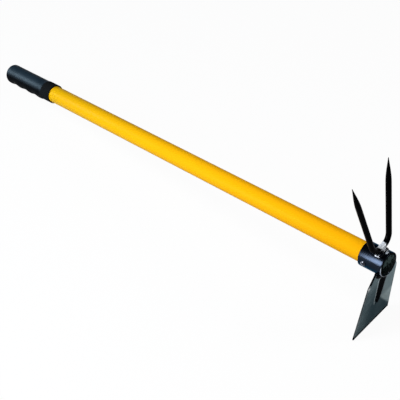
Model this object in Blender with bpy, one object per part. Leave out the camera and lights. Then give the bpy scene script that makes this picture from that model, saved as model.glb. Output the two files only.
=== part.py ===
"""A garden hoe whose head also carries a two-pronged fork, modelled piece by piece in metres.

The pieces are laid out along the handle. +X runs from the grip to the head, +Z is the side of
the prongs, and X = 0 is the front ring of the socket. The empty named hoe carries them all and
sets the tool down on a floor at Z = 0, on the blade's edge and the underside of the grip, with
the origin under the middle of the tool.
"""

import math

import bmesh
import bpy

# Fit between pieces that touch
GAP = 0.0003

# Handle: a thin steel tube
TUBE_RADIUS = 0.0127
TUBE_WALL = 0.0012
TUBE_BARE_LENGTH = 0.5786  # between the socket and the grip

# Grip: a soft sleeve with a closed end, pushed over the tube
GRIP_LENGTH = 0.1135
GRIP_WALL = 0.00085
GRIP_END_WALL = 0.0105  # solid from the tube's end to the tip of the dome
GRIP_DOME_HEIGHT = 0.0065
COLLAR_LENGTH = 0.019
COLLAR_WALL = 0.0016
COLLAR_FADE = 0.007
MOUTH_CHAMFER = 0.0004
FINGER_SWELL = 0.0011  # extra thickness along the underside
FINGER_RIDGE_HEIGHT = 0.00165
FINGER_RECESSES = 3
FIRST_RIDGE = 0.030  # from the grip's mouth
LAST_RIDGE_FROM_END = 0.0094

# Socket: a short thick tube round the end of the handle
SOCKET_WALL = 0.0025
SOCKET_LENGTH = 0.0321
SOCKET_EDGE = 0.0005

# Rivet through the socket and the handle
RIVET_SHANK_RADIUS = 0.0020
RIVET_HEAD_RADIUS = 0.0036
RIVET_HEAD_RISE = 0.0016
RIVET_FROM_REAR = 0.008

# Plug in the open end of the handle
PLUG_STANDS_OUT = 0.0015  # the top of its dome, before the socket's front ring
PLUG_DOME_RISE = 0.0020
PLUG_FLANGE = 0.0010
PLUG_FLANGE_INSET = 0.0003  # its rim, inside the tube's outer face
PLUG_STEM_LENGTH = 0.010
PLUG_STEM_WALL = 0.0015

# Blade: a pressed steel plate, notched round the lower half of the socket
BLADE_THICKNESS = 0.0020
BLADE_SET_BACK = 0.0070  # from the socket's front ring, at its underside
BLADE_LEAN = math.radians(11.0)
BLADE_REACH = 0.1075  # from the socket's underside to the edge
BLADE_EDGE_WIDTH = 0.0700
BLADE_SHOULDER_WIDTH = 0.0536
BLADE_SHOULDER_DROP = 0.0087
BLADE_EAR_WIDTH = 0.0029
BLADE_EAR_RISE = 0.0110
BLADE_CORNER_RADIUS = 0.0020
EDGE_THICKNESS = 0.0005
EDGE_GRIND_HEIGHT = 0.0035
GROOVE_BELOW_WELD = 0.0008
GROOVE_DEPTH = 0.0024
GROOVE_TOP_WIDTH = 0.0150
GROOVE_LOW_WIDTH = 0.0090
GROOVE_FROM_EDGE = 0.0430
GROOVE_FADE = 0.0060
GROOVE_TIP_LENGTH = 0.0160
GROOVE_TIP_BLUNTNESS = 0.20  # the tip's width, as a share of the groove's
GROOVE_FLOOR = 0.12  # the width of its flat bottom, as a share of the groove's

# Fork: one bent rod with pointed ends, held over the top of the socket by its weld
FORK_ROD_RADIUS = 0.00345
FORK_SET_BACK = 0.0097
FORK_STANDS_OFF = 0.0030  # between the rod and the socket
FORK_REACH = 0.1032  # from the middle of the rod over the socket to the tips
FORK_FOOT_STRAIGHT = 0.0057  # the straight part between the two bends
FORK_BEND_RADIUS = 0.0135
FORK_SPLAY = math.radians(9.8)
FORK_LEAN = math.radians(7.5)
FORK_TAPER_LENGTH = 0.030
FORK_TIP_RADIUS = 0.0004
FORK_TAPER_POWER = 1.2  # above 1, the points are slimmer than a rounded nose

# Weld beads
BLADE_WELD_ON_PLATE = 0.0050
BLADE_WELD_ON_SOCKET = 0.0030
BLADE_WELD_END = math.radians(22)  # where it stops, below the middle of the socket
BLADE_WELD_RIPPLE = 0.07
BLADE_WELD_RIPPLES = 12
BLADE_WELD_END_FILL = 0.25  # its height at its ends, as a share of its height in the middle
BLADE_WELD_SQUARENESS = 6  # how abruptly it falls off towards its ends
FORK_WELD_RADIUS = 0.0028
FORK_WELD_OFFSET = 0.0031  # its middle line, before and behind the rod's axis
FORK_WELD_STRAIGHT = 0.0076  # the straight part of that line, across the socket
FORK_WELD_LIFT = 0.0024
FORK_WELD_END_DROP = 0.0026
FORK_WELD_RIPPLE = 0.05
FORK_WELD_RIPPLES = 11

# Sizes that follow from the fits
TUBE_BORE = TUBE_RADIUS - TUBE_WALL
SOCKET_BORE = TUBE_RADIUS + GAP
SOCKET_RADIUS = SOCKET_BORE + SOCKET_WALL
PLUG_DEPTH = PLUG_DOME_RISE + PLUG_FLANGE - PLUG_STANDS_OUT
TUBE_FRONT = -(PLUG_DEPTH + GAP)
GRIP_MOUTH = -(SOCKET_LENGTH + TUBE_BARE_LENGTH)
GRIP_END = GRIP_MOUTH - GRIP_LENGTH
GRIP_FLOOR = GRIP_END + GRIP_END_WALL
TUBE_REAR = GRIP_FLOOR + GAP
RIVET_X = -(SOCKET_LENGTH - RIVET_FROM_REAR)
GROOVE_TOP = BLADE_WELD_ON_PLATE * (1 + BLADE_WELD_RIPPLE) + GROOVE_BELOW_WELD

ROUND_STEPS = 48
SMOOTH_ANGLE = math.radians(35)


def clear_scene():
    for item in list(bpy.data.objects):
        bpy.data.objects.remove(item, do_unlink=True)


def make_material(name, colour, metallic, roughness):
    material = bpy.data.materials.new(name)
    material.use_nodes = True
    shader = material.node_tree.nodes["Principled BSDF"]
    shader.inputs["Base Color"].default_value = (*colour, 1)
    shader.inputs["Metallic"].default_value = metallic
    shader.inputs["Roughness"].default_value = roughness
    return material


def add_object(name, data, parent, material=None):
    item = bpy.data.objects.new(name, data)
    bpy.context.scene.collection.objects.link(item)
    item.parent = parent
    if material:
        data.materials.append(material)
    return item


def mesh_from(name, bm):
    """Finish a bmesh as a mesh with its faces outwards and its round faces smooth."""
    bmesh.ops.recalc_face_normals(bm, faces=bm.faces)
    if bm.calc_volume(signed=True) < 0:
        bmesh.ops.reverse_faces(bm, faces=bm.faces)
    mesh = bpy.data.meshes.new(name)
    bm.to_mesh(mesh)
    bm.free()
    mesh.shade_smooth()
    mesh.set_sharp_from_angle(angle=SMOOTH_ANGLE)
    return mesh


def spun(outline, steps=ROUND_STEPS, axis=(1, 0, 0), closed=True):
    """A bmesh of an outline of points spun round an axis through the origin."""
    bm = bmesh.new()
    points = [bm.verts.new(point) for point in outline]
    ends = points[1:] + points[:1] if closed else points[1:]
    lines = [bm.edges.new(pair) for pair in zip(points, ends)]
    bmesh.ops.spin(
        bm,
        geom=points + lines,
        axis=axis,
        cent=(0, 0, 0),
        angle=math.tau,
        steps=steps,
        use_merge=True,
        use_duplicate=False,
    )
    bmesh.ops.remove_doubles(bm, verts=bm.verts, dist=1e-6)
    return bm


def turned(name, profile, closed=True, steps=ROUND_STEPS):
    """A mesh turned round the handle's axis from (place along the handle, radius) points."""
    bm = spun([(x, 0, radius) for x, radius in profile], steps, closed=closed)
    return mesh_from(name, bm)


def rod_curve(name, path, radii, sides, cyclic=False):
    """A round rod along a path, with its own radius at each point. Sides is 8 or more, and even."""
    curve = bpy.data.curves.new(name, "CURVE")
    curve.dimensions = "3D"
    curve.bevel_depth = 1
    curve.bevel_resolution = sides // 2 - 2
    curve.use_fill_caps = True
    curve.twist_mode = "MINIMUM"
    spline = curve.splines.new("POLY")
    spline.points.add(len(path) - 1)
    spline.use_cyclic_u = cyclic
    spline.use_smooth = True
    for point, place, radius in zip(spline.points, path, radii):
        point.co = (*place, 1)
        point.radius = radius
    return curve


def meshed(name, curve):
    """The closed mesh of a curve, for use with a Boolean."""
    holder = bpy.data.objects.new(name, curve)
    bpy.context.scene.collection.objects.link(holder)
    mesh = bpy.data.meshes.new_from_object(holder)
    bpy.data.objects.remove(holder, do_unlink=True)
    bm = bmesh.new()
    bm.from_mesh(mesh)
    bmesh.ops.remove_doubles(bm, verts=bm.verts, dist=1e-6)
    return mesh_from(name, bm)


def add_cutter(name, mesh, parent):
    cutter = add_object(name, mesh, parent)
    cutter.hide_render = True
    cutter.display_type = "WIRE"
    return cutter


def boolean(item, other, operation="DIFFERENCE"):
    modifier = item.modifiers.new(f"{operation.lower()} {other.name}", "BOOLEAN")
    modifier.operation = operation
    modifier.object = other


def ease(value):
    """Nought to one, level at both ends."""
    value = min(1, max(0, value))
    return value * value * (3 - 2 * value)


def add_handle_tube(parent, rivet_hole):
    """The tube runs from the plug in the socket to the end of the grip's bore."""
    profile = [
        (TUBE_FRONT, TUBE_BORE),
        (TUBE_FRONT, TUBE_RADIUS),
        (TUBE_REAR, TUBE_RADIUS),
        (TUBE_REAR, TUBE_BORE),
    ]
    yellow = make_material("yellow_powder_coat", (0.97, 0.50, 0.006), 0, 0.30)
    tube = add_object("handle_tube", turned("handle_tube", profile), parent, yellow)
    boolean(tube, rivet_hole)


def grip_radius(along):
    """The grip's radius on its upper side, at a distance from its mouth."""
    fade = ease((along - COLLAR_LENGTH) / COLLAR_FADE)
    wall = COLLAR_WALL + (GRIP_WALL - COLLAR_WALL) * fade
    radius = TUBE_RADIUS + GAP + wall
    into_dome = (along - (GRIP_LENGTH - GRIP_DOME_HEIGHT)) / GRIP_DOME_HEIGHT
    return radius * math.sqrt(1 - min(1, max(0, into_dome)) ** 2)


def finger_height(along):
    """How far the underside stands out below the round of the grip."""
    pitch = (GRIP_LENGTH - LAST_RIDGE_FROM_END - FIRST_RIDGE) / FINGER_RECESSES
    wave = (1 + math.cos(math.tau * (along - FIRST_RIDGE) / pitch)) / 2
    start = ease((along - COLLAR_LENGTH) / COLLAR_FADE)
    height = start * (FINGER_SWELL + FINGER_RIDGE_HEIGHT * wave)
    into_dome = (along - (GRIP_LENGTH - GRIP_DOME_HEIGHT)) / GRIP_DOME_HEIGHT
    return height * math.sqrt(1 - min(1, max(0, into_dome)) ** 2)


def grip_stations():
    """Distances from the mouth at which the outside of the grip has a ring."""
    body_end = GRIP_LENGTH - GRIP_DOME_HEIGHT
    body_rings, dome_rings = 28, 6
    body = [
        COLLAR_LENGTH + (body_end - COLLAR_LENGTH) * i / body_rings
        for i in range(body_rings + 1)
    ]
    dome = [
        body_end + GRIP_DOME_HEIGHT * math.sin(math.pi / 2 * i / dome_rings)
        for i in range(1, dome_rings + 1)
    ]
    return body + dome


def add_grip(parent):
    """A sleeve, turned first, whose underside is then drawn out into finger ridges."""
    bore = TUBE_RADIUS + GAP
    profile = [(GRIP_FLOOR, 0), (GRIP_FLOOR, bore), (GRIP_MOUTH, bore)]
    profile += [(GRIP_MOUTH, grip_radius(0) - MOUTH_CHAMFER)]
    profile += [(GRIP_MOUTH - MOUTH_CHAMFER, grip_radius(0))]
    profile += [(GRIP_MOUTH - along, grip_radius(along)) for along in grip_stations()]
    bm = spun([(x, 0, radius) for x, radius in profile], steps=36, closed=False)
    for vertex in bm.verts:
        radius = math.hypot(vertex.co.y, vertex.co.z)
        if radius <= bore + GRIP_WALL / 2 and vertex.co.x >= GRIP_FLOOR or radius == 0:
            continue
        underside = (1 - vertex.co.z / radius) / 2
        grown = 1 + finger_height(GRIP_MOUTH - vertex.co.x) * underside**2 / radius
        vertex.co.y *= grown
        vertex.co.z *= grown
    black = make_material("black_grip", (0.012, 0.013, 0.015), 0, 0.45)
    add_object("grip", mesh_from("grip", bm), parent, black)


def add_socket(parent, rivet_hole):
    rear, edge = -SOCKET_LENGTH, SOCKET_EDGE
    profile = [
        (0, SOCKET_BORE),
        (0, SOCKET_RADIUS - edge),
        (-edge, SOCKET_RADIUS),
        (rear + edge, SOCKET_RADIUS),
        (rear, SOCKET_RADIUS - edge),
        (rear, SOCKET_BORE),
    ]
    black = make_material("black_socket_paint", (0.010, 0.011, 0.014), 0.2, 0.18)
    socket = add_object("socket", turned("socket", profile), parent, black)
    boolean(socket, rivet_hole)


def cross_cylinder(name, radius, half_length, parent):
    """A cylinder across the handle, through the rivet's place."""
    bm = spun(
        [(0, -half_length, 0), (radius, -half_length, 0)]
        + [(radius, half_length, 0), (0, half_length, 0)],
        steps=20,
        axis=(0, 1, 0),
        closed=False,
    )
    cylinder = add_cutter(name, mesh_from(name, bm), parent)
    cylinder.location.x = RIVET_X
    return cylinder


def add_rivet(parent, socket_guard):
    """Two domed heads, hollowed to the round of the socket and joined by the shank."""
    base = SOCKET_RADIUS + GAP
    dome = [
        (RIVET_HEAD_RADIUS * math.cos(turn), base + RIVET_HEAD_RISE * math.sin(turn))
        for turn in (math.pi / 2 * i / 5 for i in range(6))
    ]
    inner = base - RIVET_HEAD_RADIUS / 2
    half = [(0, inner), (RIVET_HEAD_RADIUS, inner), *dome[:-1], (0, dome[-1][1])]
    bm = spun([(r, y, 0) for r, y in half], 24, axis=(0, 1, 0), closed=False)
    bmesh.ops.mirror(bm, geom=bm.verts[:] + bm.edges[:] + bm.faces[:], axis="Y")
    steel = make_material("rivet_steel", (0.03, 0.032, 0.036), 0.6, 0.25)
    rivet = add_object("socket_rivet", mesh_from("socket_rivet", bm), parent, steel)
    rivet.location.x = RIVET_X
    boolean(rivet, socket_guard)
    shank_end = base + RIVET_HEAD_RISE / 2
    shank = cross_cylinder("rivet_shank", RIVET_SHANK_RADIUS, shank_end, parent)
    boolean(rivet, shank, "UNION")


def add_end_plug(parent):
    """A moulded cup: its flange covers the tube's end, and its front is a shallow dome."""
    rim = TUBE_RADIUS - PLUG_FLANGE_INSET
    stem = TUBE_BORE - GAP
    back = -PLUG_DEPTH
    dome_foot = back + PLUG_FLANGE
    dome = [
        (dome_foot + PLUG_DOME_RISE * math.sin(turn), rim * math.cos(turn))
        for turn in (math.pi / 2 * i / 7 for i in range(7))
    ]
    stem_end = back - PLUG_STEM_LENGTH
    profile = [
        (dome_foot + PLUG_DOME_RISE, 0),
        *reversed(dome),
        (back, rim),
        (back, stem),
        (stem_end, stem),
        (stem_end, stem - PLUG_STEM_WALL),
        (back, stem - PLUG_STEM_WALL),
        (back, 0),
    ]
    dark = make_material("plug_plastic", (0.035, 0.045, 0.040), 0, 0.35)
    mesh = turned("end_plug", profile, closed=False)
    add_object("end_plug", mesh, parent, dark)


def blade_half_width(drop):
    """Half the blade's width, at a distance below the socket's underside."""
    shoulder, edge = BLADE_SHOULDER_WIDTH / 2, BLADE_EDGE_WIDTH / 2
    if drop < BLADE_SHOULDER_DROP:
        ear = SOCKET_RADIUS + GAP + BLADE_EAR_WIDTH
        share = (drop + BLADE_EAR_RISE) / (BLADE_SHOULDER_DROP + BLADE_EAR_RISE)
        return ear + (shoulder - ear) * share
    share = (drop - BLADE_SHOULDER_DROP) / (BLADE_REACH - BLADE_SHOULDER_DROP)
    into_corner = (drop - (BLADE_REACH - BLADE_CORNER_RADIUS)) / BLADE_CORNER_RADIUS
    rounding = BLADE_CORNER_RADIUS * (1 - math.sqrt(1 - min(1, max(0, into_corner)) ** 2))
    return shoulder + (edge - shoulder) * share - rounding


def groove_shape(drop):
    """(half width, depth) of the pressed groove, at a distance below the socket's underside."""
    tip = BLADE_REACH - GROOVE_FROM_EDGE
    share = min(1, max(0, (drop - GROOVE_TOP) / (tip - GROOVE_TOP)))
    half_width = (GROOVE_TOP_WIDTH + (GROOVE_LOW_WIDTH - GROOVE_TOP_WIDTH) * share) / 2
    into_tip = (drop - (tip - GROOVE_TIP_LENGTH)) / GROOVE_TIP_LENGTH
    tip_round = math.sqrt(1 - min(1, max(0, into_tip)) ** 2)
    depth = GROOVE_DEPTH * ease((drop - GROOVE_TOP) / GROOVE_FADE) * tip_round
    return half_width * max(GROOVE_TIP_BLUNTNESS, tip_round), depth


def blade_rows():
    """Distances below the socket's underside of the rows of points across the blade."""
    tip = BLADE_REACH - GROOVE_FROM_EDGE
    marks = [-BLADE_EAR_RISE, BLADE_SHOULDER_DROP]
    marks += [GROOVE_TOP + GROOVE_FADE * i / 4 for i in range(5)]
    marks += [tip - GROOVE_TIP_LENGTH * math.cos(math.pi / 2 * i / 6) for i in range(7)]
    corners = [math.sin(math.pi / 2 * i / 4) for i in range(5)]
    marks += [BLADE_REACH - BLADE_CORNER_RADIUS * (1 - corner) for corner in corners]
    return sorted(marks)


def add_blade(parent, socket_guard):
    """A grid laid out as the plate's middle surface, thickened, notched and ground."""
    rows = blade_rows()
    lip = 0.5  # the column at the groove's edge, where 1 is the blade's side
    half = [lip * GROOVE_FLOOR, lip * (1 + GROOVE_FLOOR) / 2, lip, (lip + 1) / 2, 1]
    across = [-column for column in reversed(half)] + half
    bm = bmesh.new()
    bmesh.ops.create_grid(
        bm, x_segments=len(across) - 1, y_segments=len(rows) - 1, size=1
    )
    for vertex in bm.verts:
        column = across[round((vertex.co.x + 1) / 2 * (len(across) - 1))]
        drop = rows[round((vertex.co.y + 1) / 2 * (len(rows) - 1))]
        groove, depth = groove_shape(drop)
        inside = min(1, abs(column) / lip)
        outside = max(0, abs(column) - lip) / (1 - lip)
        width = groove * inside + (blade_half_width(drop) - groove) * outside
        pressed = depth * (1 - inside)
        vertex.co = (-pressed, math.copysign(width, column), -drop)
    paint = make_material("black_blade_paint", (0.016, 0.019, 0.020), 0.2, 0.22)
    blade = add_object("blade", mesh_from("blade", bm), parent, paint)
    blade.location = (-BLADE_SET_BACK, 0, -SOCKET_RADIUS)
    blade.rotation_euler.y = BLADE_LEAN
    thickness = blade.modifiers.new("thickness", "SOLIDIFY")
    thickness.thickness = BLADE_THICKNESS
    thickness.offset = 0
    thickness.use_even_offset = True
    boolean(blade, socket_guard)
    boolean(blade, add_edge_grinder(blade))


def add_edge_grinder(blade):
    """A wedge over the front of the blade, which leaves the edge thin at the back face."""
    front = BLADE_THICKNESS / 2
    edge_front = EDGE_THICKNESS - front
    high = EDGE_GRIND_HEIGHT - BLADE_REACH
    clear = EDGE_GRIND_HEIGHT / 2
    slope = (front - edge_front) / EDGE_GRIND_HEIGHT
    corners = [
        (front + clear * slope, high + clear),
        (edge_front - clear * slope, -BLADE_REACH - clear),
        (front + clear, -BLADE_REACH - clear),
        (front + clear, high + clear),
    ]
    bm = bmesh.new()
    section = bm.faces.new([bm.verts.new((x, -BLADE_EDGE_WIDTH, z)) for x, z in corners])
    grown = bmesh.ops.extrude_face_region(bm, geom=[section])["geom"]
    moved = [part for part in grown if isinstance(part, bmesh.types.BMVert)]
    bmesh.ops.translate(bm, verts=moved, vec=(0, 2 * BLADE_EDGE_WIDTH, 0))
    return add_cutter("edge_grinder", mesh_from("edge_grinder", bm), blade)


def fork_path():
    """Points down one prong, round the bend and up the other, with the rod's radius at each."""
    bend_end = FORK_BEND_RADIUS * (1 - math.sin(FORK_SPLAY))
    bend_middle = FORK_FOOT_STRAIGHT / 2
    bend_side = bend_middle + FORK_BEND_RADIUS * math.cos(FORK_SPLAY)
    leg = (FORK_REACH - bend_end) / math.cos(FORK_SPLAY)
    taper_points, bend_points = 10, 16
    half = []
    for i in range(taper_points + 1):
        from_tip = FORK_TAPER_LENGTH * (i / taper_points)
        full = math.sin(math.pi / 2 * i / taper_points) ** FORK_TAPER_POWER
        radius = FORK_TIP_RADIUS + (FORK_ROD_RADIUS - FORK_TIP_RADIUS) * full
        up = leg - from_tip
        side = bend_side + up * math.sin(FORK_SPLAY)
        half.append(((0, side, bend_end + up * math.cos(FORK_SPLAY)), radius))
    for i in range(bend_points // 2 + 1):
        turn = (math.pi / 2 - FORK_SPLAY) * (1 - 2 * i / bend_points)
        side = bend_middle + FORK_BEND_RADIUS * math.sin(turn)
        up = FORK_BEND_RADIUS * (1 - math.cos(turn))
        half.append(((0, side, up), FORK_ROD_RADIUS))
    mirrored = [((x, -y, z), radius) for (x, y, z), radius in reversed(half)]
    return half + mirrored


def place_fork(item):
    item.location = (-FORK_SET_BACK, 0, SOCKET_RADIUS + FORK_STANDS_OFF + FORK_ROD_RADIUS)
    item.rotation_euler.y = -FORK_LEAN


def add_fork(parent):
    path, radii = zip(*fork_path())
    paint = make_material("black_fork_paint", (0.006, 0.006, 0.007), 0.2, 0.25)
    fork = add_object("fork", rod_curve("fork", path, radii, sides=16), parent, paint)
    place_fork(fork)
    guard_curve = rod_curve("fork_guard", path, [r + GAP for r in radii], sides=16)
    guard = add_cutter("fork_guard", meshed("fork_guard", guard_curve), parent)
    place_fork(guard)
    return guard


def add_fork_weld(parent, socket_guard, fork_guard):
    """A bead that runs right round the foot of the fork, and fills in under both bends."""
    straight = FORK_WELD_STRAIGHT / 2
    line = []
    side_points, end_points = 14, 8
    for side in (1, -1):
        for i in range(side_points):
            line.append((side * FORK_WELD_OFFSET, side * straight * (2 * i / side_points - 1)))
        for i in range(end_points):
            turn = math.pi * i / end_points
            along = straight + FORK_WELD_OFFSET * math.sin(turn)
            line.append((side * FORK_WELD_OFFSET * math.cos(turn), side * along))
    path, radii = [], []
    for i, (forward, along) in enumerate(line):
        sideways = along / (straight + FORK_WELD_OFFSET)
        round_socket = along / SOCKET_RADIUS
        out = SOCKET_RADIUS + FORK_WELD_LIFT - FORK_WELD_END_DROP * sideways**2
        x = forward - FORK_SET_BACK
        path.append((x, out * math.sin(round_socket), out * math.cos(round_socket)))
        ripple = math.sin(math.tau * FORK_WELD_RIPPLES * i / len(line))
        radii.append(FORK_WELD_RADIUS * (1 + FORK_WELD_RIPPLE * ripple))
    bead = meshed("fork_weld", rod_curve("fork_weld", path, radii, 12, cyclic=True))
    paint = make_material("fork_weld_paint", (0.020, 0.020, 0.024), 0.4, 0.28)
    weld = add_object("fork_weld", bead, parent, paint)
    boolean(weld, socket_guard)
    boolean(weld, fork_guard)


def add_blade_weld(name, side, parent):
    """A fillet under the socket, before the blade (side 1) or behind it (side -1).

    It is spun round the socket as if the blade stood square, and then sheared to its lean.
    """
    inner = SOCKET_RADIUS + GAP
    face = -BLADE_SET_BACK + side * (BLADE_THICKNESS / 2 / math.cos(BLADE_LEAN) + GAP)
    rounds = [math.pi / 2 * i / 5 for i in range(6)]
    section = [(0, inner)] + [
        (BLADE_WELD_ON_SOCKET * math.sin(turn), inner + BLADE_WELD_ON_PLATE * math.cos(turn))
        for turn in rounds
    ]
    span = math.pi - 2 * BLADE_WELD_END
    middle = math.sin(span / 2)
    first = [(x, -radius * middle, -radius * math.cos(span / 2)) for x, radius in section]
    steps = 36
    bm = bmesh.new()
    start = bm.faces.new([bm.verts.new(point) for point in first])
    bmesh.ops.spin(
        bm, geom=[start], axis=(1, 0, 0), cent=(0, 0, 0), angle=span, steps=steps
    )
    bmesh.ops.remove_doubles(bm, verts=bm.verts, dist=1e-7)
    for vertex in bm.verts:
        radius = math.hypot(vertex.co.y, vertex.co.z)
        from_middle = math.atan2(vertex.co.y, -vertex.co.z) / (span / 2)
        fill = math.sqrt(max(0, 1 - abs(from_middle) ** BLADE_WELD_SQUARENESS))
        fill = BLADE_WELD_END_FILL + (1 - BLADE_WELD_END_FILL) * fill
        fill *= 1 + BLADE_WELD_RIPPLE * math.sin(from_middle * BLADE_WELD_RIPPLES * math.pi)
        grown = (inner + (radius - inner) * fill) / radius
        vertex.co.y *= grown
        vertex.co.z *= grown
        lean = math.tan(BLADE_LEAN) * (vertex.co.z + SOCKET_RADIUS)
        vertex.co.x = face + side * vertex.co.x * fill + lean
    paint = make_material(name, (0.014, 0.015, 0.016), 0.3, 0.30)
    add_object(name, mesh_from(name, bm), parent, paint)


def set_down(hoe):
    """Pitch the tool until the blade's edge and the grip's underside both touch the floor."""
    edge_front = EDGE_THICKNESS - BLADE_THICKNESS / 2
    sin_lean, cos_lean = math.sin(BLADE_LEAN), math.cos(BLADE_LEAN)
    edge_x = -BLADE_SET_BACK + edge_front * cos_lean - BLADE_REACH * sin_lean
    edge_z = -SOCKET_RADIUS - edge_front * sin_lean - BLADE_REACH * cos_lean
    underside = [
        (GRIP_MOUTH - along, -grip_radius(along) - finger_height(along))
        for along in grip_stations()
    ]
    pitch = min(math.atan2(z - edge_z, edge_x - x) for x, z in underside)
    hoe.rotation_euler.y = -pitch
    front = SOCKET_RADIUS * math.sin(pitch)
    rear = GRIP_END * math.cos(pitch)
    hoe.location.x = -(front + rear) / 2
    hoe.location.z = -(edge_x * math.sin(pitch) + edge_z * math.cos(pitch))


clear_scene()
hoe = add_object("hoe", None, None)
set_down(hoe)
guard_radius = SOCKET_RADIUS + GAP
guard_profile = [
    (SOCKET_LENGTH, 0),
    (SOCKET_LENGTH, guard_radius),
    (-2 * SOCKET_LENGTH, guard_radius),
    (-2 * SOCKET_LENGTH, 0),
]
guard_mesh = turned("socket_guard", guard_profile, closed=False, steps=96)
socket_guard = add_cutter("socket_guard", guard_mesh, hoe)
hole_radius = RIVET_SHANK_RADIUS + GAP
past_socket = SOCKET_RADIUS + SOCKET_WALL
rivet_hole = cross_cylinder("rivet_hole", hole_radius, past_socket, hoe)

add_handle_tube(hoe, rivet_hole)
add_grip(hoe)
add_socket(hoe, rivet_hole)
add_rivet(hoe, socket_guard)
add_end_plug(hoe)
add_blade(hoe, socket_guard)
add_blade_weld("blade_weld_front", 1, hoe)
add_blade_weld("blade_weld_rear", -1, hoe)
fork_guard = add_fork(hoe)
add_fork_weld(hoe, socket_guard, fork_guard)
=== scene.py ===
"""The looks of a garden hoe with a fork: its camera, studio, pieces and finishes, in metres.

Each piece is made along the handle first, as in the model it dresses: +X runs from the grip to
the head, +Z is the side of the prongs, and X = 0 is the front ring of the socket. It is then laid
down on the floor as the whole tool is.
"""

import math

import bmesh
import bpy
from mathutils import Matrix, Vector


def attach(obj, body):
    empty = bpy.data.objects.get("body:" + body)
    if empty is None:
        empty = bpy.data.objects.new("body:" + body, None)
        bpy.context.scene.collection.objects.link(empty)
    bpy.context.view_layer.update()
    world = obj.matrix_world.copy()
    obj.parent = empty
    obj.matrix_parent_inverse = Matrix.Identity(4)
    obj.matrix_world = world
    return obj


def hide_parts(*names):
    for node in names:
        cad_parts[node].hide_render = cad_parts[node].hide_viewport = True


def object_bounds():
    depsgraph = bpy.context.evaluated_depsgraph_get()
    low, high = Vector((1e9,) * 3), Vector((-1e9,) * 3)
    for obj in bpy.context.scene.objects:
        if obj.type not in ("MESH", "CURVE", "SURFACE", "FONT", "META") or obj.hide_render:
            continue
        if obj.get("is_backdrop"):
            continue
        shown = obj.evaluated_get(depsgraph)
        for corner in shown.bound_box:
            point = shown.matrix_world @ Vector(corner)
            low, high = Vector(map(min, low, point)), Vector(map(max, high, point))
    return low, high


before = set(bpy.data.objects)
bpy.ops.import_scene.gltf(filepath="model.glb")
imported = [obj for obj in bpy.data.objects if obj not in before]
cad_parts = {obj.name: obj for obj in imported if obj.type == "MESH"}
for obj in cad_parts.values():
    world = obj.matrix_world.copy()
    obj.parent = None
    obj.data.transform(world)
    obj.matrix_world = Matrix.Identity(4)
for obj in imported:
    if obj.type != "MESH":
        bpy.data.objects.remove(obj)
cad_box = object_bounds()

# Camera
# It stands before the head, beside the tool and well above it, and holds the whole tool
# slantwise in a square picture.
CAMERA_PLACE = (0.65719, -0.59502, 0.92390)
CAMERA_TURN = (42.8794, 1.4890, 43.5938)  # degrees
CAMERA_LENS = 80.835  # millimetres
CAMERA_SENSOR = 36  # millimetres

camera_data = bpy.data.cameras.new("camera")
camera_data.sensor_width = CAMERA_SENSOR
camera_data.lens = CAMERA_LENS
camera = bpy.data.objects.new("camera", camera_data)
camera.location = CAMERA_PLACE
camera.rotation_euler = [math.radians(turn) for turn in CAMERA_TURN]
bpy.context.scene.collection.objects.link(camera)
bpy.context.scene.camera = camera

# Studio
# A white table under four soft lamps: a tall one on the left, which draws the bright line along
# the socket, a small one close to the grip, one over the handle and one in front on the right.
FLOOR_RADIUS = 5.0
FLOOR_STEPS = 128
FLOOR_DROP = 0.0002  # below the tool, so that they don't share a surface
TABLE_GREY = (0.45, 0.45, 0.45, 1)  # what the table throws back on the tool
TABLE_SEEN = (0.90, 0.90, 0.90, 1)  # and what it shows where it is looked at
WHITE_SEEN = 0.95  # the share of glowing white in it where it is looked at
WHITE_MIRRORED = 0.08  # and where it is mirrored
CEILING = (0.022, 0.024, 0.034, 1)
SKY_SEEN = (1, 1, 1, 1)


def give(tree, node_input, value):
    """Set a node's input to a number or a colour, or link it to another node's output."""
    if isinstance(value, bpy.types.NodeSocket):
        tree.links.new(value, node_input)
    else:
        node_input.default_value = value


def worked_out(tree, operation, first, second):
    """Two values put together by a maths node. Each is a socket or a number."""
    node = tree.nodes.new("ShaderNodeMath")
    node.operation = operation
    give(tree, node.inputs[0], first)
    give(tree, node.inputs[1], second)
    return node.outputs[0]


def blended(tree, factor, first, second):
    """Two colours mixed by a factor. Each is a socket or a colour."""
    node = tree.nodes.new("ShaderNodeMix")
    node.data_type = "RGBA"
    for label, value in (("Factor", factor), ("A", first), ("B", second)):
        give(tree, node.inputs[label], value)
    return node.outputs["Result"]


def add_lamp(name, place, faces, size, spread, watts, colour, mirrored=True):
    """A soft lamp that faces a point. Its size is length and height, its spread in degrees."""
    lamp_data = bpy.data.lights.new(name, "AREA")
    lamp_data.shape = "RECTANGLE"
    lamp_data.size, lamp_data.size_y = size
    lamp_data.spread = math.radians(spread)
    lamp_data.energy = watts
    lamp_data.color = colour
    lamp = bpy.data.objects.new(name, lamp_data)
    lamp.location = place
    aim = Vector(faces) - Vector(place)
    lamp.rotation_euler = aim.to_track_quat("-Z", "Y").to_euler()
    lamp.visible_camera = False
    lamp.visible_glossy = mirrored
    bpy.context.scene.collection.objects.link(lamp)


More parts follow.
